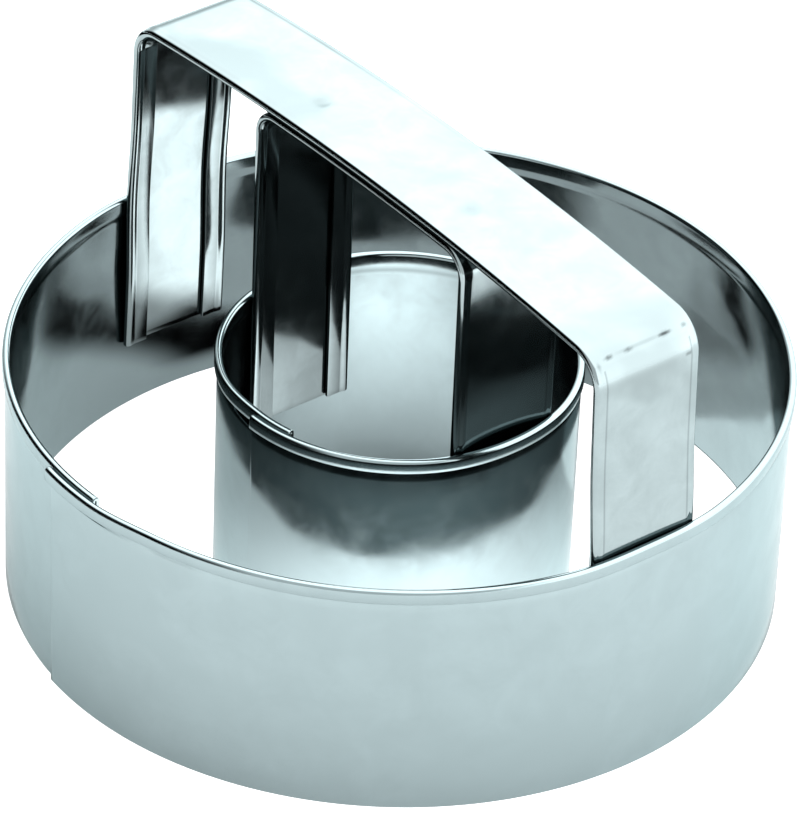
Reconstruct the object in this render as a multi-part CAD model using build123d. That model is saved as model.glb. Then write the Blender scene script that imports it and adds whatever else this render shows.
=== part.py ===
from build123d import *
from math import acos, cos, degrees, pi, radians, sin, sqrt, tan
import os

# Donut cutter of hemmed steel strip: a round cutting ring, a smaller ring inside it for the
# hole, and two nested U-shaped straps that carry the rings and make the handle.
# Frame: millimetres, +Z up. The origin is on the axis of the rings, in the plane of the two
# cutting edges. The handle runs along X, and both lap seams face -Y.

# Sheet that all four strips are cut from
sheet = 0.45

# Rolled rim at the top of each ring
rim_height = 1.6
rim_slit = 0.06
rim_step = 0.2
rim_step_height = 0.5
rim_step_drop = 0.25

# Rings
ring_height = 29.5
outer_ring_diameter = 88.9
inner_ring_diameter = 41.3
lap_clearance = 0.03
outer_lap = 7.7
inner_lap = 5.2
rim_easing = 9.0
rim_easing_spans = 3
outer_seam_angle = -91
inner_seam_angle = -82

# Straps: the same hemmed strip, bent to two sizes
handle_width = 14.2
bracket_inset = 0.1
hem_width = 3.0
hem_slit = 0.12
edge_band = 1.25
edge_drop = 0.14
handle_top = 56.8
crossbar_radius = 400.0
handle_bend_radius = 4.6
bracket_bend_radius = 3.6
handle_foot = 9.0
bracket_foot = 11.5
handle_lean = 2.0
seat_clearance = 0.03
nesting_clearance = 0.02

# Spot welds, in the middle of the sheets that they join. A nugget is hidden and has few sides.
nugget_radius = 1.3
nugget_sides = 8
nugget_depth_share = 0.5
boss_foot_radius = 2.6
boss_top_radius = 1.5
boss_clearance = 0.08
top_boss_foot_radius = 2.3
seam_weld_height_shares = (0.2, 0.5, 0.8)
handle_weld_height = 14.0
bracket_weld_height = 18.0
crossbar_weld_reach = 13.3
crossbar_weld_offset = -1.7

bracket_width = handle_width - 2 * bracket_inset
fold_radius = sheet + hem_slit / 2
rim_fold_radius = sheet + rim_slit / 2
rim_lip = rim_slit + sheet - rim_step
lap_pitch = sheet + lap_clearance
rim_spread = rim_lip + sheet + rim_step + lap_clearance - lap_pitch
crossbar_centre = handle_top - crossbar_radius
outer_ring_radius = outer_ring_diameter / 2
inner_ring_radius = inner_ring_diameter / 2
NEAR = 1
FAR = -1


def heading(angle):
    """Unit vector in the XY plane."""
    return Vector(cos(radians(angle)), sin(radians(angle)), 0)


def arc_centre(seam_angle, side):
    """Each ring is a flat spiral of two half-turn arcs. NEAR is the arc that starts as the
    outer layer of the lap and passes +X, FAR the one that ends as the inner layer."""
    return heading(seam_angle) * (side * lap_pitch / 4)


def arc_radius(ring_radius, side):
    return ring_radius + side * lap_pitch / 4


def wall_reach(ring_radius, seam_angle, side):
    """Distance from the origin to the outer face of a ring's wall, along +X or -X."""
    centre = arc_centre(seam_angle, side)
    return side * centre.X + sqrt(arc_radius(ring_radius, side) ** 2 - centre.Y**2)


def ring_section(spread):
    """Strip section, X outwards from the wall's outer face, Y up from the cutting edge:
    a plain wall, a small step and a rim folded over to the outside. The spread moves the
    rim outwards, away from the other layer's rim in a lap."""
    inset = rim_step - spread
    lip = rim_lip + spread
    step_top = ring_height - rim_height - rim_step_drop
    step_foot = step_top - rim_step_height
    fold_height = ring_height - rim_fold_radius
    bevel = rim_fold_radius / 2
    slit_top = fold_height + rim_slit / 2
    outline = Polyline(
        (-sheet, 0),
        (0, 0),
        (0, step_foot),
        (-inset, step_top),
        (-inset, slit_top),
        (rim_slit - inset, ring_height - rim_height),
        (lip, ring_height - rim_height),
        (lip, fold_height),
        (lip - bevel, ring_height),
        (bevel - sheet - inset, ring_height),
        (-sheet - inset, fold_height),
        (-sheet - inset, step_top),
        (-sheet, step_foot),
        close=True,
    )
    return make_face(outline)


def ring_plane(ring_radius, seam_angle, side, angle):
    """Where a ring's strip is cut square at an angle."""
    out = heading(angle)
    centre = arc_centre(seam_angle, side)
    return Plane(
        origin=centre + out * arc_radius(ring_radius, side),
        x_dir=out,
        z_dir=heading(angle - 90),
    )


def ring_arc(ring_radius, seam_angle, side, start, turn, spread=0):
    """One arc of a ring's spiral, from its start angle through its turn."""
    place = ring_plane(ring_radius, seam_angle, side, start)
    axis = Axis(arc_centre(seam_angle, side), (0, 0, 1))
    return revolve(place * ring_section(spread), axis, turn)


def eased_arc(ring_radius, seam_angle, side, start, turn, first_spread, last_spread):
    """A stretch of a ring where its rim moves smoothly from one spread to another."""
    sections = []
    for step in range(rim_easing_spans + 1):
        share = step / rim_easing_spans
        blend = (1 - cos(pi * share)) / 2
        spread = first_spread + (last_spread - first_spread) * blend
        place = ring_plane(ring_radius, seam_angle, side, start + turn * share)
        sections.append(place * ring_section(spread))
    return loft(sections)


def outer_ring_strip():
    """The outer end's rim spreads outwards to pass over the rim beneath it."""
    half_lap = degrees(outer_lap / outer_ring_radius) / 2
    easing = degrees(rim_easing / outer_ring_radius)
    ring = (outer_ring_radius, outer_seam_angle)
    start = outer_seam_angle - half_lap
    lapped = ring_arc(*ring, NEAR, start, 2 * half_lap, rim_spread)
    eased = eased_arc(*ring, NEAR, start + 2 * half_lap, easing, rim_spread, 0)
    plain = ring_arc(*ring, NEAR, start + 2 * half_lap + easing, 180 - half_lap - easing)
    far = ring_arc(*ring, FAR, outer_seam_angle + 180, 180 + half_lap)
    return lapped + eased + plain + far


def inner_ring_strip():
    """The inner end's rim draws inwards to pass under the rim outside it."""
    half_lap = degrees(inner_lap / inner_ring_radius) / 2
    easing = degrees(rim_easing / inner_ring_radius)
    ring = (inner_ring_radius, inner_seam_angle)
    finish = inner_seam_angle + 360 - half_lap
    near = ring_arc(*ring, NEAR, inner_seam_angle - half_lap, 180 + half_lap)
    plain = ring_arc(*ring, FAR, inner_seam_angle + 180, 180 - half_lap - easing)
    eased = eased_arc(*ring, FAR, finish - easing, easing, 0, -rim_spread)
    lapped = ring_arc(*ring, FAR, finish, 2 * half_lap, -rim_spread)
    return near + plain + eased + lapped


def strap_section(width):
    """Strip section, X across the strip and Y outwards from its outer face: flat in the
    middle, eased along both edges and hemmed under."""
    side = width / 2
    flat = side - edge_band
    hem_edge = side - hem_width
    slit_end = side - sheet
    bevel = fold_radius / 2
    roof = -edge_drop
    floor = roof - 2 * fold_radius
    under = -sheet - hem_slit
    half = [
        (flat, 0),
        (side - bevel, roof),
        (side, roof - bevel),
        (side, floor + bevel),
        (side - bevel, floor),
        (flat, -2 * fold_radius),
        (hem_edge, -2 * fold_radius),
        (hem_edge, under),
        (slit_end, roof - fold_radius),
        (flat, -sheet),
    ]
    other_half = [(-x, y) for x, y in reversed(half)]
    return make_face(Polyline(*half, *other_half, close=True))


def seat_reach(width, wall_radius, centre, side):
    """How far from the origin a leg's outer face lies when the strap's two folded edges
    rest inside a round wall."""
    bevel = fold_radius / 2
    edge = width / 2 + abs(centre.Y)
    shoulder = edge - bevel
    room = wall_radius - seat_clearance
    by_edge = bevel + sqrt(room**2 - edge**2)
    by_shoulder = sqrt(room**2 - shoulder**2)
    return side * centre.X + edge_drop + min(by_edge, by_shoulder)


def strap(width, half_span, foot, lean, top_radius, bend_radius):
    """Inverted U of strip: two legs, two bends and an arched crossbar, all tangent."""
    section = strap_section(width)
    up = Vector(sin(radians(lean)), 0, cos(radians(lean)))
    out = Vector(-cos(radians(lean)), 0, sin(radians(lean)))
    crown = Vector(0, 0, crossbar_centre)
    toe = Vector(-half_span, 0, foot)
    to_axis = toe - out * bend_radius - crown
    climb = to_axis.dot(up)
    leg_length = sqrt(climb**2 - to_axis.dot(to_axis) + (top_radius - bend_radius) ** 2) - climb
    knee = toe + up * leg_length
    bend_axis = knee - out * bend_radius
    rise = (bend_axis - crown).normalized()
    half_arch = degrees(acos(rise.Z))
    leg = extrude(Plane(toe, x_dir=(0, 1, 0), z_dir=up) * section, leg_length)
    bend = revolve(
        Plane(knee, x_dir=(0, 1, 0), z_dir=up) * section,
        Axis(bend_axis, (0, 1, 0)),
        90 - half_arch - lean,
    )
    along = Vector(rise.Z, 0, -rise.X)
    crossbar = revolve(
        Plane(crown + rise * top_radius, x_dir=(0, 1, 0), z_dir=along) * section,
        Axis(crown, (0, 1, 0)),
        2 * half_arch,
    )
    end = leg + bend
    return end + crossbar + mirror(end, Plane.YZ)


def nugget(start, finish):
    """Weld nugget from one point to the other."""
    run = finish - start
    outline = RegularPolygon(nugget_radius, nugget_sides)
    return extrude(Plane(start, z_dir=run.normalized()) * outline, run.length)


def seam_welds(ring_radius, seam_angle):
    """Nuggets through a lap, from the middle of the inner layer to the middle of the outer."""
    out = heading(seam_angle)
    inner_face = ring_radius - lap_pitch / 2
    outer_face = ring_radius + lap_pitch / 2 - sheet
    bite = sheet * nugget_depth_share
    welds = []
    for share in seam_weld_height_shares:
        height = Vector(0, 0, ring_height * share)
        welds.append(nugget(out * (inner_face - bite) + height, out * (outer_face + bite) + height))
    return welds


def leg_face(side, reach, lean, height):
    """Plane on a leg's outer face, facing out, where the leg is welded."""
    tilt = radians(lean)
    return Plane(
        origin=(side * reach, 0, height),
        x_dir=(0, 1, 0),
        z_dir=(side * cos(tilt), 0, sin(tilt)),
    )


def boss_height(gap, wall_radius):
    """A boss stops short of a round wall by its clearance, at the rim of its flat top."""
    return gap - boss_top_radius**2 / (2 * wall_radius) - boss_clearance


def press_boss(strip, face, height, foot_radius):
    """Push the sheet out to a flat-topped boss, hollow behind, to meet the next sheet. Its
    foot starts a little inside the sheet, which may be arched."""
    root = hem_slit / 2
    up = (Align.CENTER, Align.CENTER, Align.MIN)
    form = Cone(foot_radius, boss_top_radius, height + root, align=up)
    return strip + face.offset(-root) * form - face.offset(-sheet - root) * form


def leg_weld(face, side, height, wall):
    """Nugget from the middle of a boss's sheet to the middle of the ring's wall."""
    bite = sheet * nugget_depth_share
    start = Vector(face.origin.X + side * (height - bite), 0, face.origin.Z)
    return nugget(start, Vector(side * (wall + bite), 0, face.origin.Z))


def weld_legs(strip, ring_radius, seam_angle, reach, lean, weld_height):
    """Press both legs' bosses and return the strip with the nuggets that they carry."""
    welds = []
    for side in (NEAR, FAR):
        wall = wall_reach(ring_radius, seam_angle, side) - sheet
        face = leg_face(side, reach[side], lean, weld_height)
        height = boss_height(wall - reach[side], arc_radius(ring_radius, side))
        strip = press_boss(strip, face, height, boss_foot_radius)
        welds.append(leg_weld(face, side, height, wall))
    return strip, welds


def arch_height(radius, reach):
    return crossbar_centre + sqrt(radius**2 - reach**2)


def weld_crossbars(bracket, shift):
    """Press the bosses on the bracket's crossbar that meet the handle's, with nuggets."""
    bite = sheet * nugget_depth_share
    height = 2 * fold_radius - sheet + nesting_clearance - boss_clearance
    welds = []
    for side in (NEAR, FAR):
        reach = side * crossbar_weld_reach
        level = arch_height(bracket_top_radius, reach)
        foot = Vector(reach + shift, crossbar_weld_offset, level)
        face = Plane(foot, x_dir=(0, 1, 0), z_dir=(reach, 0, level - crossbar_centre))
        bracket = press_boss(bracket, face, height, top_boss_foot_radius)
        upper = arch_height(crossbar_radius, reach) - sheet + bite
        start = Vector(foot.X, foot.Y, level + height - bite)
        welds.append(nugget(start, Vector(foot.X, foot.Y, upper)))
    return bracket, welds


def write(node, solids):
    export_step(Compound(label=node, children=list(solids)), f"parts/{node}.step")


bracket_top_radius = crossbar_radius - 2 * fold_radius - nesting_clearance
handle_reach = {
    side: seat_reach(
        handle_width,
        arc_radius(outer_ring_radius, side) - sheet,
        arc_centre(outer_seam_angle, side),
        side,
    )
    for side in (NEAR, FAR)
}
bracket_reach = {
    side: seat_reach(
        bracket_width,
        arc_radius(inner_ring_radius, side) - sheet - rim_step,
        arc_centre(inner_seam_angle, side),
        side,
    )
    for side in (NEAR, FAR)
}
handle_shift = (handle_reach[NEAR] - handle_reach[FAR]) / 2
handle_half_span = (handle_reach[NEAR] + handle_reach[FAR]) / 2
bracket_shift = (bracket_reach[NEAR] - bracket_reach[FAR]) / 2
bracket_half_span = (bracket_reach[NEAR] + bracket_reach[FAR]) / 2
handle_taper = (handle_weld_height - handle_foot) * tan(radians(handle_lean))
handle_weld_reach = {side: handle_reach[side] - handle_taper for side in (NEAR, FAR)}

handle_strap = Pos(handle_shift, 0, 0) * strap(
    handle_width,
    handle_half_span,
    handle_foot,
    handle_lean,
    crossbar_radius,
    handle_bend_radius,
)
inner_strap = Pos(bracket_shift, 0, 0) * strap(
    bracket_width, bracket_half_span, bracket_foot, 0, bracket_top_radius, bracket_bend_radius
)
handle_strap, handle_welds = weld_legs(
    handle_strap,
    outer_ring_radius,
    outer_seam_angle,
    handle_weld_reach,
    handle_lean,
    handle_weld_height,
)
inner_strap, bracket_welds = weld_legs(
    inner_strap, inner_ring_radius, inner_seam_angle, bracket_reach, 0, bracket_weld_height
)
inner_strap, top_welds = weld_crossbars(inner_strap, bracket_shift)
outer_welds = seam_welds(outer_ring_radius, outer_seam_angle)
inner_welds = seam_welds(inner_ring_radius, inner_seam_angle)

outer_ring = outer_ring_strip() - outer_welds - handle_welds
inner_ring = inner_ring_strip() - inner_welds - bracket_welds
handle_strap = handle_strap - handle_welds - top_welds
inner_strap = inner_strap - bracket_welds - top_welds

os.makedirs("parts", exist_ok=True)
write("outer_ring", outer_ring.solids())
write("inner_ring", inner_ring.solids())
write("handle_strap", handle_strap.solids())
write("inner_strap", inner_strap.solids())
write("outer_seam_welds", outer_welds)
write("inner_seam_welds", inner_welds)
write("handle_leg_welds", handle_welds)
write("inner_leg_welds", bracket_welds)
write("crossbar_welds", top_welds)
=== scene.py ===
from math import acos, cos, degrees, pi, radians, sin, sqrt

import bmesh
import bpy
from mathutils import Matrix, Vector


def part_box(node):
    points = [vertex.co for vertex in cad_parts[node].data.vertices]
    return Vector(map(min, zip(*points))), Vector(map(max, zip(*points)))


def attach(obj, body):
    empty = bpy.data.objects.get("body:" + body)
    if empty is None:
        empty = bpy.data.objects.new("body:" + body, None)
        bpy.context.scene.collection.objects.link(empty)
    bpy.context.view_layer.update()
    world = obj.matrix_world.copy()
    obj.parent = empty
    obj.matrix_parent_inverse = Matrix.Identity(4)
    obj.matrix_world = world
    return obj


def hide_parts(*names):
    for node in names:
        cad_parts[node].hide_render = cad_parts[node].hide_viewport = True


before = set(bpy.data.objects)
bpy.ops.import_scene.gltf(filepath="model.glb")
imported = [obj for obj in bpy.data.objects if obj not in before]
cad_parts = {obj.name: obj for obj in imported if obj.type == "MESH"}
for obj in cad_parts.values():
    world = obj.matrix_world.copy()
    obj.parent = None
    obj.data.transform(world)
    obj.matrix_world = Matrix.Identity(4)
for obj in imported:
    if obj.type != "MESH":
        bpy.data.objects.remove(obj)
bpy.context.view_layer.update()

# Donut cutter of hemmed steel strip. Each strip is modelled as the middle of its sheet, bent
# the way the real strip is, and gets its thickness at the end. Lengths are in metres in the
# CAD's frame, and angles are in degrees unless a function says otherwise.
MM = 0.001
UP = Vector((0, 0, 1))
ACROSS = Vector((0, 1, 0))
FULL_TURN = 360
SHEET = 0.45 * MM
FOLD_STEPS = 12
CUT_ROUNDING = 0.05 * MM
CUT_ROUNDING_PARTS = 2
CUT_ANGLE = 60

# Rings: a flat spiral of strip, in two half turns, with a rim folded over to the outside
RING_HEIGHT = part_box("outer_ring")[1].z
RING_RADII = {"outer_ring": 44.45 * MM, "inner_ring": 20.65 * MM}
SEAM_ANGLES = {"outer_ring": -91, "inner_ring": -82}
LAPS = {"outer_ring": 7.7 * MM, "inner_ring": 5.2 * MM}
LAP_CLEARANCE = 0.03 * MM
LAP_PITCH = SHEET + LAP_CLEARANCE
SPIRAL_SHIFT = LAP_PITCH / 4
RIM_HEIGHT = 1.6 * MM
RIM_SLIT = 0.06 * MM
RIM_FOLD = (SHEET + RIM_SLIT) / 2
RIM_FOLD_HEIGHT = RING_HEIGHT - RIM_FOLD - SHEET / 2
RIM_SPREAD = RIM_SLIT + SHEET
RIM_EASING = 9.0 * MM
RIM_STEP = 0.2 * MM
RIM_STEP_HEIGHT = 0.8 * MM
RIM_STEP_DROP = 0.25 * MM
RIM_STEP_TOP = RING_HEIGHT - RIM_HEIGHT - RIM_STEP_DROP
RIM_STEP_FOOT = RIM_STEP_TOP - RIM_STEP_HEIGHT
RIM_STEP_ROUNDING = 0.4 * RIM_STEP_HEIGHT
RIM_STEP_PARTS = 3
ROUND_PROFILE = 0.5
WALL_PARTS = 8
RING_STEPS = 220
START_SLACK = 1
LEG_FLATS = {"outer_ring": 0.45 * MM, "inner_ring": 0.2 * MM}
FLAT_REACH = 11 * MM
FLAT_FOOT = 16 * MM

# Straps: hemmed strip bent to an inverted U
STRAP_WIDTHS = {"handle_strap": 14.2 * MM, "inner_strap": 14.0 * MM}
HEM_WIDTH = 3.0 * MM
HEM_SLIT = 0.12 * MM
HEM_FOLD = (SHEET + HEM_SLIT) / 2
EDGE_BAND = 1.3 * MM
EDGE_DROP = 0.14 * MM
CREASE = 0.2 * MM
HANDLE_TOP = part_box("handle_strap")[1].z
HANDLE_FOOT = 9.0 * MM
BRACKET_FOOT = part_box("inner_strap")[0].z
CROSSBAR_RADIUS = 400 * MM
HANDLE_BEND = 4.6 * MM
BRACKET_BEND = 3.6 * MM
HANDLE_LEAN = 2.0
BRACKET_LEAN = 0
BULGE = 0.36 * MM
BULGE_REACH = 12 * MM
NESTING_CLEARANCE = 0.02 * MM
SEAT_CLEARANCE = 0.03 * MM
HALF_PANEL_PARTS = 14
BAND_PARTS = 6
LEG_STEP = 0.7 * MM
ARCH_STEP = 0.5 * MM
BEND_STEPS = 36

# Marks: hollows over the handle's two spot welds and nicks on its near bend from the bending tool,
# both darkened with painted shade, and creases darkened with painted shade. A nick is an angle
# round the bend, an offset from the middle of the strap, a half length and how much painted shade
# it gets.
CROSSBAR_WELD_REACH = 13.3 * MM
CROSSBAR_WELD_OFFSET = -1.7 * MM
WELD_HOLLOW = 1.7 * MM
WELD_HOLLOW_DEPTH = 0.18 * MM
WELD_PAINTED_SHADE = 0.16
NICK_WIDTH = 0.34 * MM
NICK_DEPTH = 0.08 * MM
BEND_NICKS = (
    (42, -4.7 * MM, 0.7 * MM, 0.8),
    (42, -2.0 * MM, 0.8 * MM, 0.7),
    (41, -0.4 * MM, 4.6 * MM, 0.22),
    (41, 3.0 * MM, 1.2 * MM, 1.0),
    (40, 5.7 * MM, 0.5 * MM, 0.5),
    (80, 5.4 * MM, 0.5 * MM, 0.6),
)
PAINTED_SHADE_SPREAD = 1.4
CREASE_PAINTED_SHADE = 0.4
CREASE_DROP = 4.0 * MM
CREASE_REACH = CREASE / 4

# Finish: noises in the object's own space, and the spans in which two of them leave marks
# Share of the tint that is left under full painted shade in the hollows, nicks and creases
PAINTED_SHADE_SHARE = 0.15
EDGE_TINT = (0.85, 0.95, 0.96, 1)
WAVES = {"Scale": 70.0, "Detail": 1.0, "Roughness": 0.4}
GRAIN = {"Scale": 2600.0, "Detail": 3.0, "Roughness": 0.6}
WIPING = {"Scale": 210.0, "Detail": 5.0, "Roughness": 0.62, "Distortion": 0.4}
WIPING_SPAN = (0.35, 0.65)
CLOUDS = {"Scale": 55.0, "Detail": 3.0, "Roughness": 0.5, "Distortion": 0.5}
CLOUD_SPAN = (0.48, 0.66)

# Camera, from the photograph
PICTURE_LONG_SIDE = 815
FOCAL_PIXELS = 5955.9
SENSOR_WIDTH = 36
CAMERA_DISTANCE = 686.46 * MM
CAMERA_ELEVATION = 36.672
CAMERA_AZIMUTH = 50.843
CAMERA_ROLL = 2.421
CAMERA_YAW = 0.032
CAMERA_PITCH = 1.497
CAMERA_NEAR = 0.01
CAMERA_FAR = 20

# Studio: a light table in a pale room. A place is an azimuth, which is 0 behind the object as
# the camera sees it, 90 to its right and -90 to its left, and an elevation.
WHITE = (1, 1, 1, 1)
TABLE_RADIUS = 1.0
TABLE_SIDES = 96
TABLE_TONE = 0.68
TABLE_GLOW = 0.24
TABLE_LIFT = 0.75
LAMP_GLOW = 1.75
LAMP_PLACE = (165, 0)
LAMP_OFFSET = 28 * MM
LAMP_REACH = 55 * MM
WINDOW_RADIUS = 44 * MM
DEEP_SHARE = 0.22
CUP_RADIUS = 15 * MM
CUP_EDGE = 40 * MM
CUP_SHARE = 0.02
ROOM_LIGHT = 0.8
KEY_LIGHT = 2.3
KEY_PLACE = (45, 56)
KEY_FULL = 44
KEY_EDGE = 66
SIDE_LIGHT = 2.2
SIDE_PLACE = (104, 8)
SIDE_FULL = 26
SIDE_EDGE = 60
CURTAIN_PLACE = (-90, 5)
CURTAIN_FULL = 38
CURTAIN_EDGE = 58
CARD_LIFT = 0.2 * MM
HALF_CARD = 0.5
LEG_FACING = 101.6
RING_CARD_SOFTNESS = 0.14
SHADOW_PATCH_SOFTNESS = 0.3


def heading(angle):
    """Unit vector in the floor plane."""
    return Vector((cos(radians(angle)), sin(radians(angle)), 0))


def upright(lean):
    """Unit vector that leans from the vertical along the straps, by an angle in radians."""
    return Vector((sin(lean), 0, cos(lean)))


def smooth_step(share):
    """Ease a share from zero to one."""
    share = min(1, max(0, share))
    return share * share * (3 - 2 * share)


def side_of(vert):
    """One for a point on the near leg's side, and minus one on the far leg's side."""
    return 1 if vert.co.x > 0 else -1


# ---------------------------------------------------------------- bent strip

def only(parts, kind):
    """The parts of a mesh that are of one kind."""
    return [part for part in parts if isinstance(part, kind)]


def draw_on(bm, vert, step):
    """Draw a straight edge on from a wire's last point."""
    last = bmesh.ops.extrude_vert_indiv(bm, verts=[vert])["verts"][0]
    last.co += step
    return last


def turn_on(bm, parts, centre, axis, angle, steps):
    """Draw a point or a wire on round an axis by an angle in radians, and return its far end."""
    spun = bmesh.ops.spin(
        bm, geom=parts, cent=centre, axis=axis, angle=angle, steps=steps, use_merge=False
    )
    return spun["geom_last"]


def bend_on(bm, vert, centre, axis, angle, steps):
    """Draw an arc on from a wire's last point."""
    return only(turn_on(bm, [vert], centre, axis, angle, steps), bmesh.types.BMVert)[0]


def sweep_on(bm, edges, centre, axis, angle, steps):
    """Sweep a wire round an axis, and return its edges at the far end."""
    return only(turn_on(bm, edges, centre, axis, angle, steps), bmesh.types.BMEdge)


def run_on(bm, edges, run, steps):
    """Carry a wire straight on, in equal steps, and return its edges at the far end."""
    for _ in range(steps):
        made = bmesh.ops.extrude_edge_only(bm, edges=edges)["geom"]
        verts = only(made, bmesh.types.BMVert)
        ends = set(verts)
        edges = [edge for edge in only(made, bmesh.types.BMEdge) if ends.issuperset(edge.verts)]
        bmesh.ops.translate(bm, verts=verts, vec=run / steps)
    return edges


def finish_strip(bm, name):
    """Turn the strip's middle surface into a piece with the sheet's thickness."""
    bmesh.ops.recalc_face_normals(bm, faces=bm.faces[:])
    for face in bm.faces:
        face.smooth = True
    mesh = bpy.data.meshes.new(name)
    bm.to_mesh(mesh)
    bm.free()
    piece = bpy.data.objects.new(name, mesh)
    bpy.context.scene.collection.objects.link(piece)
    sheet = piece.modifiers.new("sheet", "SOLIDIFY")
    sheet.thickness = SHEET
    sheet.offset = 0
    sheet.use_even_offset = True
    cut = piece.modifiers.new("cut_edges", "BEVEL")
    cut.width = CUT_ROUNDING
    cut.segments = CUT_ROUNDING_PARTS
    cut.limit_method = "ANGLE"
    cut.angle_limit = radians(CUT_ANGLE)
    return piece


# ---------------------------------------------------------------- rings

def ring_centre(seam_angle, layer):
    """Centre of one of a ring's two half turns. The layer is 1 for the half turn that is the
    outside of the lap, and -1 for the other."""
    return heading(seam_angle) * (layer * SPIRAL_SHIFT)


def draw_ring_section(bm, foot, out):
    """Wire of the ring's section: wall, small step inwards, and rim folded to the outside."""
    vert = bm.verts.new(foot)
    for _ in range(WALL_PARTS):
        vert = draw_on(bm, vert, UP * (RIM_STEP_FOOT / WALL_PARTS))
    corners = [vert]
    vert = draw_on(bm, vert, UP * RIM_STEP_HEIGHT - out * RIM_STEP)
    corners.append(vert)
    vert = draw_on(bm, vert, UP * (RIM_FOLD_HEIGHT - RIM_STEP_TOP))
    side = Vector((-out.y, out.x, 0))
    vert = bend_on(bm, vert, vert.co + out * RIM_FOLD, side, pi, FOLD_STEPS)
    draw_on(bm, vert, UP * (RING_HEIGHT - RIM_HEIGHT - RIM_FOLD_HEIGHT))
    bmesh.ops.bevel(
        bm,
        geom=corners,
        offset=RIM_STEP_ROUNDING,
        affect="VERTICES",
        segments=RIM_STEP_PARTS,
        profile=ROUND_PROFILE,
        material=-1,
        clamp_overlap=True,
    )
    return bm.edges[:]


def spread_rim(bm, centre, out, layer, lap, easing, spread):
    """Move the rim past the other end's rim over the lap, and ease it back along the ring."""
    for vert in bm.verts:
        arm = vert.co - centre
        reach = Vector((arm.x, arm.y, 0))
        swept = degrees(out.xy.angle_signed(reach.xy)) * -layer % FULL_TURN
        if swept > FULL_TURN - START_SLACK:
            # The start itself can come out just under a full turn
            swept = 0
        lift = smooth_step((vert.co.z - RIM_STEP_FOOT) / RIM_STEP_HEIGHT)
        ease = 1 - smooth_step((swept - lap) / easing)
        vert.co += reach.normalized() * (spread * lift * ease)


def flatten_at_legs(bm, depth):
    """Draw the wall in a little where a flat leg is welded to it, at both ends of the strap."""
    top = RING_HEIGHT - RIM_HEIGHT
    for vert in bm.verts:
        height = smooth_step((vert.co.z - FLAT_FOOT) / (top - FLAT_FOOT))
        near_leg = smooth_step(1 - abs(vert.co.y / FLAT_REACH))
        vert.co.x -= side_of(vert) * depth * near_leg * height


def ring_strip(name, node, layer, spread):
    """A ring's strip, swept from the end that carries the spread rim. The layer is 1 where
    that end is the outside of the lap and -1 where it is the inside."""
    radius = RING_RADII[node]
    seam = SEAM_ANGLES[node]
    lap = degrees(LAPS[node] / radius)
    out = heading(seam - layer * (lap / 2))
    centre = ring_centre(seam, layer)
    half_turn = radians(layer * (FULL_TURN / 2 + lap / 2))
    bm = bmesh.new()
    foot = centre + out * (radius + layer * SPIRAL_SHIFT - SHEET / 2)
    edges = draw_ring_section(bm, foot, out)
    edges = sweep_on(bm, edges, centre, UP, half_turn, RING_STEPS)
    spread_rim(bm, centre, out, layer, lap, degrees(RIM_EASING / radius), spread)
    sweep_on(bm, edges, ring_centre(seam, -layer), UP, half_turn, RING_STEPS)
    flatten_at_legs(bm, LEG_FLATS[node])
    piece = finish_strip(bm, name)
    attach(piece, "root")
    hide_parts(node)
    return piece


# ---------------------------------------------------------------- straps

def seat_reach(width, wall_radius, centre, side):
    """How far from the axis a leg's outer face lies, its folded edges resting in a ring."""
    bevel = (SHEET + HEM_SLIT / 2) / 2
    edge = width / 2 + abs(centre.y)
    room = wall_radius - SEAT_CLEARANCE
    by_edge = bevel + sqrt(room**2 - edge**2)
    by_shoulder = sqrt(room**2 - (edge - bevel) ** 2)
    return side * centre.x + EDGE_DROP + min(by_edge, by_shoulder)


def leg_reaches(strap_node, ring_node, step):
    """Reach of a strap's two legs by side, in a ring whose inside is narrower by a step."""
    return {
        side: seat_reach(
            STRAP_WIDTHS[strap_node],
            RING_RADII[ring_node] + side * SPIRAL_SHIFT - SHEET - step,
            ring_centre(SEAM_ANGLES[ring_node], side),
            side,
        )
        for side in (1, -1)
    }


def draw_half_section(bm, vert, width, sideways, out):
    """Half of the strap's section: flat panel, crease, eased edge band and hem under it."""
    side = width / 2
    flat = side - EDGE_BAND
    band = side - (SHEET / 2 + HEM_FOLD) - flat
    for _ in range(HALF_PANEL_PARTS):
        vert = draw_on(bm, vert, sideways * ((flat - CREASE) / HALF_PANEL_PARTS))
    vert = draw_on(bm, vert, sideways * CREASE)
    falls = [
        smooth_step((part + 1) / BAND_PARTS) - smooth_step(part / BAND_PARTS)
        for part in range(BAND_PARTS)
    ]
    band_steps = [sideways * (band / BAND_PARTS) - out * (EDGE_DROP * fall) for fall in falls]
    for step in band_steps:
        vert = draw_on(bm, vert, step)
    vert = bend_on(bm, vert, vert.co - out * HEM_FOLD, sideways.cross(out), -pi, FOLD_STEPS)
    for step in band_steps:
        vert = draw_on(bm, vert, -step)
    draw_on(bm, vert, sideways * -(HEM_WIDTH - EDGE_BAND))


def draw_strap_section(bm, toe, width, out):
    """Wire of the strap's section, from the middle of its panel to both hems."""
    middle = bm.verts.new(toe - out * (SHEET / 2))
    for sideways in (ACROSS, -ACROSS):
        draw_half_section(bm, middle, width, sideways, out)
    return bm.edges[:]


def painted_shade_layer(bm):
    """The layer that tells the finish how much painted shade a point gets."""
    return bm.verts.layers.float.get("painted_shade") or bm.verts.layers.float.new("painted_shade")


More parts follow.
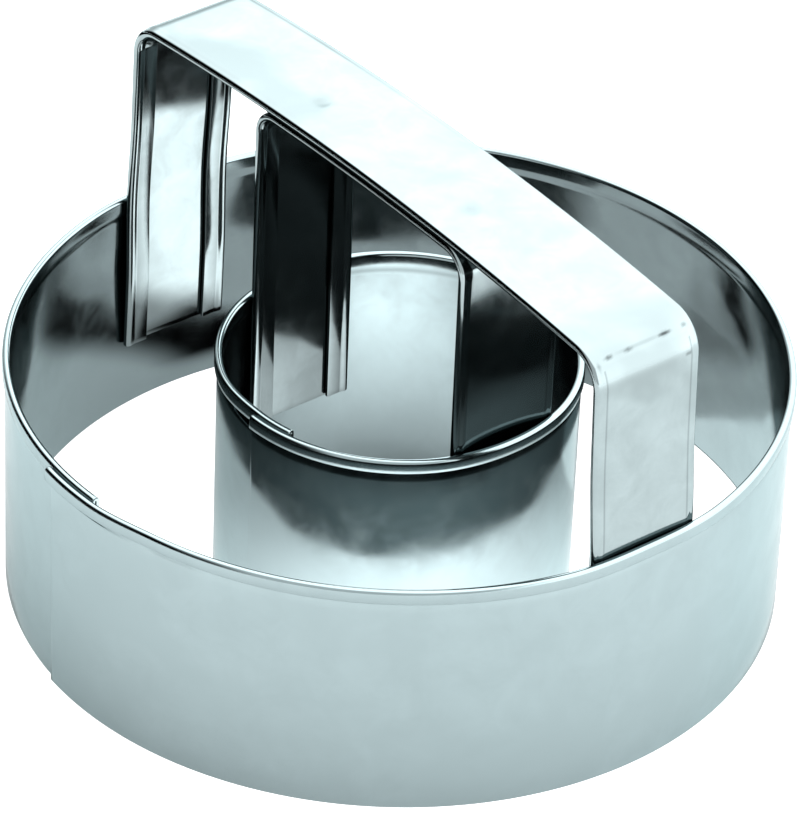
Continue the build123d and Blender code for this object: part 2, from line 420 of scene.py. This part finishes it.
def press(bm, place, inward, reaches, depth, painted_shade):
    """Press a smooth hollow into the sheet and darken it with painted shade. The reaches are its
    half-sizes along the strap and across it, and the sheets under it stay as they are."""
    marks = painted_shade_layer(bm)
    along = inward.cross(ACROSS)
    for vert in bm.verts:
        offset = vert.co - place
        if abs(offset.dot(inward)) > SHEET:
            continue
        share = sqrt((offset.dot(along) / reaches[0]) ** 2 + (offset.y / reaches[1]) ** 2)
        vert.co += inward * (depth * smooth_step(1 - share))
        vert[marks] = max(vert[marks], painted_shade * smooth_step(PAINTED_SHADE_SPREAD * (1 - share)))


def paint_crease_shade(bm, width):
    """Paint shade along the two lines on the legs where the strap's edges were drawn down."""
    marks = painted_shade_layer(bm)
    crease = width / 2 - EDGE_BAND
    for vert in bm.verts:
        on_leg = vert.co.z < HANDLE_TOP - CREASE_DROP
        if on_leg and abs(abs(vert.co.y) - crease) < CREASE_REACH:
            vert[marks] = max(vert[marks], CREASE_PAINTED_SHADE)


def lean_on_rim(bm):
    """Bulge the handle's legs out to the ring's rim, which stands in from the wall."""
    for vert in bm.verts:
        share = 1 - abs(vert.co.z - RING_HEIGHT) / BULGE_REACH
        vert.co.x += side_of(vert) * BULGE * smooth_step(share)


def mark_handle(bm, crown, near_bend):
    """Hollows over the two spot welds of the crossbar, and nicks from the bending tool, both
    darkened with painted shade.
    """
    for side in (1, -1):
        rise = upright(side * CROSSBAR_WELD_REACH / CROSSBAR_RADIUS)
        place = crown + rise * (CROSSBAR_RADIUS - SHEET / 2) + ACROSS * CROSSBAR_WELD_OFFSET
        press(bm, place, -rise, (WELD_HOLLOW, WELD_HOLLOW), WELD_HOLLOW_DEPTH, WELD_PAINTED_SHADE)
    for angle, offset, length, painted_shade in BEND_NICKS:
        rise = upright(radians(angle))
        place = near_bend + rise * (HANDLE_BEND - SHEET / 2) + ACROSS * offset
        press(bm, place, -rise, (NICK_WIDTH, length), NICK_DEPTH * painted_shade, painted_shade)


def find_leg_length(start, up, radius):
    """Length of a leg whose bend is tangent to the crossbar. The axis of the bend moves up from
    a start beside the toe until it is as far as the radius from the crossbar's centre, from
    which the start is measured."""
    climb = start.dot(up)
    return sqrt(climb**2 - start.dot(start) + radius**2) - climb


def strap(name, node, reaches, foot, lean, top_radius, bend_radius):
    """Inverted U of strip: leg, bend, arched crossbar, bend and leg, all tangent."""
    width = STRAP_WIDTHS[node]
    half_span = (reaches[1] + reaches[-1]) / 2
    up = upright(radians(lean))
    down = Vector((up.x, 0, -up.z))
    out = Vector((-up.z, 0, up.x))
    crown = UP * (HANDLE_TOP - CROSSBAR_RADIUS)
    toe = Vector((-half_span, 0, foot))
    leg = find_leg_length(toe - out * bend_radius - crown, up, top_radius - bend_radius)
    leg_steps = round(leg / LEG_STEP)
    first_axis = toe + up * leg - out * bend_radius
    last_axis = Vector((-first_axis.x, 0, first_axis.z))
    half_arch = acos((first_axis - crown).normalized().z)
    bend = pi / 2 - half_arch - radians(lean)
    arch_steps = round(2 * half_arch * top_radius / ARCH_STEP)
    bm = bmesh.new()
    edges = draw_strap_section(bm, toe, width, out)
    edges = run_on(bm, edges, up * leg, leg_steps)
    edges = sweep_on(bm, edges, first_axis, ACROSS, bend, BEND_STEPS)
    edges = sweep_on(bm, edges, crown, ACROSS, 2 * half_arch, arch_steps)
    edges = sweep_on(bm, edges, last_axis, ACROSS, bend, BEND_STEPS)
    run_on(bm, edges, down * leg, leg_steps)
    paint_crease_shade(bm, width)
    if node == "handle_strap":
        lean_on_rim(bm)
        mark_handle(bm, crown, last_axis)
    shift = (reaches[1] - reaches[-1]) / 2
    bmesh.ops.translate(bm, verts=bm.verts[:], vec=(shift, 0, 0))
    piece = finish_strip(bm, name)
    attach(piece, "root")
    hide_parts(node)
    return piece


# ---------------------------------------------------------------- shader nodes

def plug(tree, value, socket):
    """Feed a socket from another node's output, or give it a plain value."""
    if isinstance(value, bpy.types.NodeSocket):
        tree.links.new(value, socket)
    else:
        socket.default_value = value


def node(tree, kind, **settings):
    """Add a shader node, with plain settings and what its inputs get by name."""
    made = tree.nodes.new(kind)
    for name, value in settings.items():
        if name in made.inputs:
            plug(tree, value, made.inputs[name])
        else:
            setattr(made, name, value)
    return made


def calc(tree, operation, *values, kind="ShaderNodeMath"):
    """Result of a Math node, or of a Vector Math node that gives a number."""
    made = node(tree, kind, operation=operation)
    for value, socket in zip(values, made.inputs):
        plug(tree, value, socket)
    return made.outputs["Value"]


def vector_calc(tree, operation, *vectors):
    """Number that a Vector Math node makes of vectors."""
    return calc(tree, operation, *vectors, kind="ShaderNodeVectorMath")


def remap(tree, value, span, ends=(0, 1), kind="SMOOTHSTEP"):
    """Carry a value over from a span to its two ends, and hold it at them outside the span."""
    made = node(tree, "ShaderNodeMapRange", interpolation_type=kind, Value=value)
    for name, bound in zip(("From Min", "From Max", "To Min", "To Max"), (*span, *ends)):
        made.inputs[name].default_value = bound
    return made.outputs["Result"]


def noise(tree, settings):
    """Noise in the object's own space."""
    place = node(tree, "ShaderNodeTexCoord").outputs["Object"]
    return node(tree, "ShaderNodeTexNoise", Vector=place, **settings).outputs["Fac"]


def layer_over(tree, share, under, over):
    """Colour of which a share is covered with another one."""
    made = node(tree, "ShaderNodeMix", data_type="RGBA", Factor=share, A=under, B=over)
    return made.outputs["Result"]


def new_material(name):
    """Material with nodes, and its tree."""
    material = bpy.data.materials.new(name)
    material.use_nodes = True
    return material, material.node_tree


# ---------------------------------------------------------------- finishes

def shaded(tint, share):
    """A tint darkened to a share of itself."""
    return (*[value * share for value in tint], 1)


def steel(name, tint, roughness, gloss_play, wave_depth, grain_depth, wiped, stain):
    """Cold-rolled steel sheet: slow waves from pressing, fine grain, wiping marks that change its
    gloss and shade, darker clouds, and painted shade in the hollows, nicks and creases that the
    mesh marks.
    Wiped and stain are the shares of the tint that the wiping marks and the clouds keep."""
    material, tree = new_material(name)
    shader = tree.nodes["Principled BSDF"]
    shader.inputs["Metallic"].default_value = 1
    shader.inputs["Specular Tint"].default_value = EDGE_TINT
    dents = node(tree, "ShaderNodeBump", Strength=1, Distance=wave_depth, Height=noise(tree, WAVES))
    pores = node(
        tree,
        "ShaderNodeBump",
        Strength=1,
        Distance=grain_depth,
        Height=noise(tree, GRAIN),
        Normal=dents.outputs["Normal"],
    )
    plug(tree, pores.outputs["Normal"], shader.inputs["Normal"])
    wiping = remap(tree, noise(tree, WIPING), WIPING_SPAN, kind="LINEAR")
    gloss_ends = (roughness - gloss_play, roughness + gloss_play)
    gloss = remap(tree, wiping, (0, 1), gloss_ends, "LINEAR")
    plug(tree, gloss, shader.inputs["Roughness"])
    clouds = remap(tree, noise(tree, CLOUDS), CLOUD_SPAN)
    painted_shades = node(tree, "ShaderNodeAttribute", attribute_name="painted_shade").outputs["Fac"]
    tone = layer_over(tree, wiping, shaded(tint, 1), shaded(tint, wiped))
    tone = layer_over(tree, clouds, tone, shaded(tint, stain))
    # Painted shade in the hollows, nicks and creases that the mesh's layer marks
    tone = layer_over(tree, painted_shades, tone, shaded(tint, PAINTED_SHADE_SHARE))
    plug(tree, tone, shader.inputs["Base Color"])
    return material


# ---------------------------------------------------------------- studio

def room_angle(azimuth):
    """Angle in the floor plane of an azimuth in the room."""
    return CAMERA_AZIMUTH + 90 - azimuth


def toward(azimuth, elevation):
    """Direction of a place in the room."""
    rise = radians(elevation)
    return heading(room_angle(azimuth)) * cos(rise) + UP * sin(rise)


def make_camera():
    """Camera that aims past the middle of the object, as the photograph's does."""
    tilt = radians(CAMERA_ELEVATION)
    place = Vector((0, -cos(tilt), sin(tilt))) * CAMERA_DISTANCE
    forward = -place.normalized()
    right = Vector((1, 0, 0))
    up = Vector((0, sin(tilt), cos(tilt)))
    yaw = radians(CAMERA_YAW)
    pitch = radians(CAMERA_PITCH)
    look = forward * (cos(yaw) * cos(pitch)) + right * (sin(yaw) * cos(pitch)) + up * sin(pitch)
    side = look.cross(up).normalized()
    top = side.cross(look)
    roll = radians(CAMERA_ROLL)
    rolled_side = side * cos(roll) + top * sin(roll)
    rolled_top = top * cos(roll) - side * sin(roll)
    turn = Matrix.Rotation(radians(CAMERA_AZIMUTH), 4, "Z")
    axes = Matrix((rolled_side, rolled_top, -look)).transposed().to_4x4()
    lens = bpy.data.cameras.new("camera")
    lens.sensor_width = SENSOR_WIDTH
    lens.lens = FOCAL_PIXELS * lens.sensor_width / PICTURE_LONG_SIDE
    lens.clip_start = CAMERA_NEAR
    lens.clip_end = CAMERA_FAR
    camera = bpy.data.objects.new("camera", lens)
    camera.matrix_world = turn @ Matrix.Translation(place) @ axes
    bpy.context.scene.collection.objects.link(camera)
    bpy.context.scene.camera = camera


def staged(name, bm, material):
    """Put a thing of the studio in the scene."""
    mesh = bpy.data.meshes.new(name)
    bm.to_mesh(mesh)
    bm.free()
    mesh.materials.append(material)
    thing = bpy.data.objects.new(name, mesh)
    bpy.context.scene.collection.objects.link(thing)
    return thing


def deep_share(tree, base=DEEP_SHARE):
    """Share of its light that a surface of the studio sends into second and later
    reflections, so that what the steel shows of itself stays dark, as on the photograph."""
    depth = node(tree, "ShaderNodeLightPath").outputs["Glossy Depth"]
    later = calc(tree, "MAXIMUM", calc(tree, "SUBTRACT", depth, 1), 0)
    return calc(tree, "POWER", base, later)


def make_table():
    """White light table: it glows, most in the round window over its lamp, and it takes the
    object's soft shadow. The camera sees it lighter than the object does, and near its middle
    it sends still less light into later reflections."""
    material, tree = new_material("light_table")
    tree.nodes.clear()
    place = node(tree, "ShaderNodeTexCoord").outputs["Object"]
    seen = node(tree, "ShaderNodeLightPath").outputs["Is Camera Ray"]
    from_axis = vector_calc(tree, "LENGTH", place)
    from_lamp = vector_calc(tree, "DISTANCE", place, toward(*LAMP_PLACE) * LAMP_OFFSET)
    cup = remap(tree, from_axis, (CUP_RADIUS, CUP_EDGE), (CUP_SHARE, DEEP_SHARE))
    dim = deep_share(tree, cup)
    lamp = remap(tree, from_lamp, (0, LAMP_REACH), (LAMP_GLOW, 0))
    window = calc(tree, "LESS_THAN", from_axis, WINDOW_RADIUS)
    light = calc(tree, "MULTIPLY_ADD", lamp, window, TABLE_GLOW)
    light = calc(tree, "MULTIPLY_ADD", seen, TABLE_LIFT, light)
    light = calc(tree, "MULTIPLY", light, dim)
    glow = node(tree, "ShaderNodeEmission", Color=WHITE, Strength=light)
    top = node(tree, "ShaderNodeBsdfDiffuse", Color=calc(tree, "MULTIPLY", dim, TABLE_TONE))
    lit = node(tree, "ShaderNodeAddShader")
    tree.links.new(top.outputs["BSDF"], lit.inputs[0])
    tree.links.new(glow.outputs["Emission"], lit.inputs[1])
    node(tree, "ShaderNodeOutputMaterial", Surface=lit.outputs["Shader"])
    bm = bmesh.new()
    bmesh.ops.create_circle(bm, cap_ends=True, segments=TABLE_SIDES, radius=TABLE_RADIUS)
    return staged("light_table", bm, material)


def edge_share(tree, along, softness):
    """Share that rises from nothing at both edges of a card to one inside them."""
    return remap(tree, calc(tree, "PINGPONG", along, HALF_CARD), (0, softness))


def ring_window(tree):
    """One within the window of the table, which the ring stands on, and nothing outside it."""
    place = node(tree, "ShaderNodeNewGeometry").outputs["Position"]
    return calc(tree, "LESS_THAN", vector_calc(tree, "LENGTH", place), WINDOW_RADIUS)


def card_paper(name, strength, cover, softness, in_ring):
    """Paper with soft edges, which glows with a strength and hides a share called cover."""
    material, tree = new_material(name)
    tree.nodes.clear()
    place = node(tree, "ShaderNodeTexCoord").outputs["Generated"]
    split = node(tree, "ShaderNodeSeparateXYZ", Vector=place)
    edges = [edge_share(tree, split.outputs[axis], softness) for axis in ("X", "Y")]
    share = calc(tree, "MULTIPLY", calc(tree, "MULTIPLY", *edges), cover)
    if in_ring:
        share = calc(tree, "MULTIPLY", share, ring_window(tree))
    light = calc(tree, "MULTIPLY", deep_share(tree), strength)
    face = node(tree, "ShaderNodeEmission", Color=WHITE, Strength=light)
    clear = node(tree, "ShaderNodeBsdfTransparent")
    mixed = node(tree, "ShaderNodeMixShader", Fac=share)
    tree.links.new(clear.outputs["BSDF"], mixed.inputs[1])
    tree.links.new(face.outputs["Emission"], mixed.inputs[2])
    node(tree, "ShaderNodeOutputMaterial", Surface=mixed.outputs["Shader"])
    return material


def lay_card(name, azimuth, reach, facing, size, softness, strength=0, cover=1, in_ring=False):
    """Card on the table, seen only in reflections: a light one if it has a strength, and
    black otherwise. Its middle lies at a reach from the axis, its width runs along a facing
    azimuth, it hides a share of the table called cover, and in the ring it acts only over
    the table's window."""
    bm = bmesh.new()
    bmesh.ops.create_grid(bm, x_segments=1, y_segments=1, size=HALF_CARD)
    bmesh.ops.scale(bm, verts=bm.verts[:], vec=(*size, 1))
    card = staged(name, bm, card_paper(name, strength, cover, softness, in_ring))
    turn = Matrix.Rotation(radians(room_angle(facing)), 4, "Z")
    place = toward(azimuth, 0) * reach + UP * CARD_LIFT
    card.matrix_world = Matrix.Translation(place) @ turn
    card.visible_camera = False
    card.visible_shadow = False
    card.visible_diffuse = False
    return card


def shine_on(name, light, pieces):
    """Show a card to these pieces alone."""
    lit = bpy.data.collections.new(name)
    for piece in pieces:
        lit.objects.link(piece)
    light.light_linking.receiver_collection = lit


def room_lobe(tree, place, full, edge, inside, outside):
    """Value that is one thing within a cone round a place in the room and another outside."""
    direction = node(tree, "ShaderNodeTexCoord").outputs["Generated"]
    near = vector_calc(tree, "DOT_PRODUCT", direction, toward(*place))
    return remap(tree, near, (cos(radians(edge)), cos(radians(full))), (outside, inside))


def make_world():
    """Pale room: white straight to the camera. Round the object it has one large soft light,
    behind and to the right, another low on the right, and a black curtain on the left."""
    world = bpy.data.worlds.new("studio")
    world.use_nodes = True
    bpy.context.scene.world = world
    tree = world.node_tree
    key = room_lobe(tree, KEY_PLACE, KEY_FULL, KEY_EDGE, KEY_LIGHT, ROOM_LIGHT)
    side = room_lobe(tree, SIDE_PLACE, SIDE_FULL, SIDE_EDGE, SIDE_LIGHT, 0)
    curtain = room_lobe(tree, CURTAIN_PLACE, CURTAIN_FULL, CURTAIN_EDGE, 0, 1)
    light = calc(tree, "MULTIPLY", calc(tree, "MAXIMUM", key, side), curtain)
    light = calc(tree, "MULTIPLY", light, deep_share(tree))
    room = tree.nodes["Background"]
    room.inputs["Color"].default_value = WHITE
    plug(tree, light, room.inputs["Strength"])
    white = node(tree, "ShaderNodeBackground", Color=WHITE, Strength=1)
    seen = node(tree, "ShaderNodeLightPath").outputs["Is Camera Ray"]
    choice = node(tree, "ShaderNodeMixShader", Fac=seen)
    tree.links.new(room.outputs["Background"], choice.inputs[1])
    tree.links.new(white.outputs["Background"], choice.inputs[2])
    tree.links.new(choice.outputs["Shader"], tree.nodes["World Output"].inputs["Surface"])


# ---------------------------------------------------------------- the object

outer = ring_strip("outer_ring_strip", "outer_ring", layer=1, spread=RIM_SPREAD)
inner = ring_strip("inner_ring_strip", "inner_ring", layer=-1, spread=-RIM_SPREAD)
handle = strap(
    "handle_strip",
    "handle_strap",
    leg_reaches("handle_strap", "outer_ring", 0),
    HANDLE_FOOT,
    HANDLE_LEAN,
    CROSSBAR_RADIUS,
    HANDLE_BEND,
)
bracket = strap(
    "inner_strap_strip",
    "inner_strap",
    leg_reaches("inner_strap", "inner_ring", RIM_STEP),
    BRACKET_FOOT,
    BRACKET_LEAN,
    CROSSBAR_RADIUS - 2 * HEM_FOLD - SHEET - NESTING_CLEARANCE,
    BRACKET_BEND,
)

ring_finish = steel(
    "ring_steel",
    tint=(0.43, 0.54, 0.56),
    roughness=0.14,
    gloss_play=0.04,
    wave_depth=0.4 * MM,
    grain_depth=0.0004 * MM,
    wiped=0.94,
    stain=0.95,
)
strap_finish = steel(
    "strap_steel",
    tint=(0.45, 0.545, 0.56),
    roughness=0.11,
    gloss_play=0.03,
    wave_depth=0.4 * MM,
    grain_depth=0.0003 * MM,
    wiped=0.86,
    stain=0.76,
)
weld_finish = steel(
    "weld_steel",
    tint=(0.33, 0.38, 0.39),
    roughness=0.32,
    gloss_play=0.1,
    wave_depth=0.2 * MM,
    grain_depth=0.004 * MM,
    wiped=0.8,
    stain=0.8,
)
for piece in (outer, inner):
    piece.data.materials.append(ring_finish)
for piece in (handle, bracket):
    piece.data.materials.append(strap_finish)
for carried_name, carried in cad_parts.items():
    carried.data.materials.clear()
    carried.data.materials.append(weld_finish if "weld" in carried_name else ring_finish)

# ---------------------------------------------------------------- the scene

make_table()
lay_card("left_flag", azimuth=-90, reach=0.37, facing=-90, size=(0.5, 0.7), softness=0.08)
lay_card(
    "right_card",
    azimuth=104,
    reach=1.03,
    facing=104,
    size=(1.94, 1.9),
    softness=0.206,
    strength=2.1,
)
leg_card = lay_card(
    "leg_card",
    azimuth=17.6,
    reach=27.6 * MM,
    facing=LEG_FACING,
    size=(42 * MM, 19 * MM),
    softness=RING_CARD_SOFTNESS,
    strength=9.5,
    cover=0.15,
    in_ring=True,
)
shine_on("leg_card_steel", leg_card, [handle])
leg_flag = lay_card(
    "leg_flag",
    azimuth=61.3,
    reach=42.4 * MM,
    facing=LEG_FACING,
    size=(20 * MM, 19 * MM),
    softness=RING_CARD_SOFTNESS,
    strength=1.1,
    in_ring=True,
)
shine_on("leg_flag_steel", leg_flag, [outer, inner, bracket])
# Two black cards on the table at the foot of the outer ring's back wall: painted shadow, seen only
# in reflections
lay_card(
    "left_shadow_patch",
    azimuth=-22.5,
    reach=37.9 * MM,
    facing=60,
    size=(25 * MM, 13 * MM),
    softness=SHADOW_PATCH_SOFTNESS,
    in_ring=True,
)
lay_card(
    "right_shadow_patch",
    azimuth=16.5,
    reach=37.3 * MM,
    facing=105,
    size=(27 * MM, 12 * MM),
    softness=SHADOW_PATCH_SOFTNESS,
    in_ring=True,
)
make_world()
make_camera()
bpy.context.scene.view_settings.view_transform = "Standard"
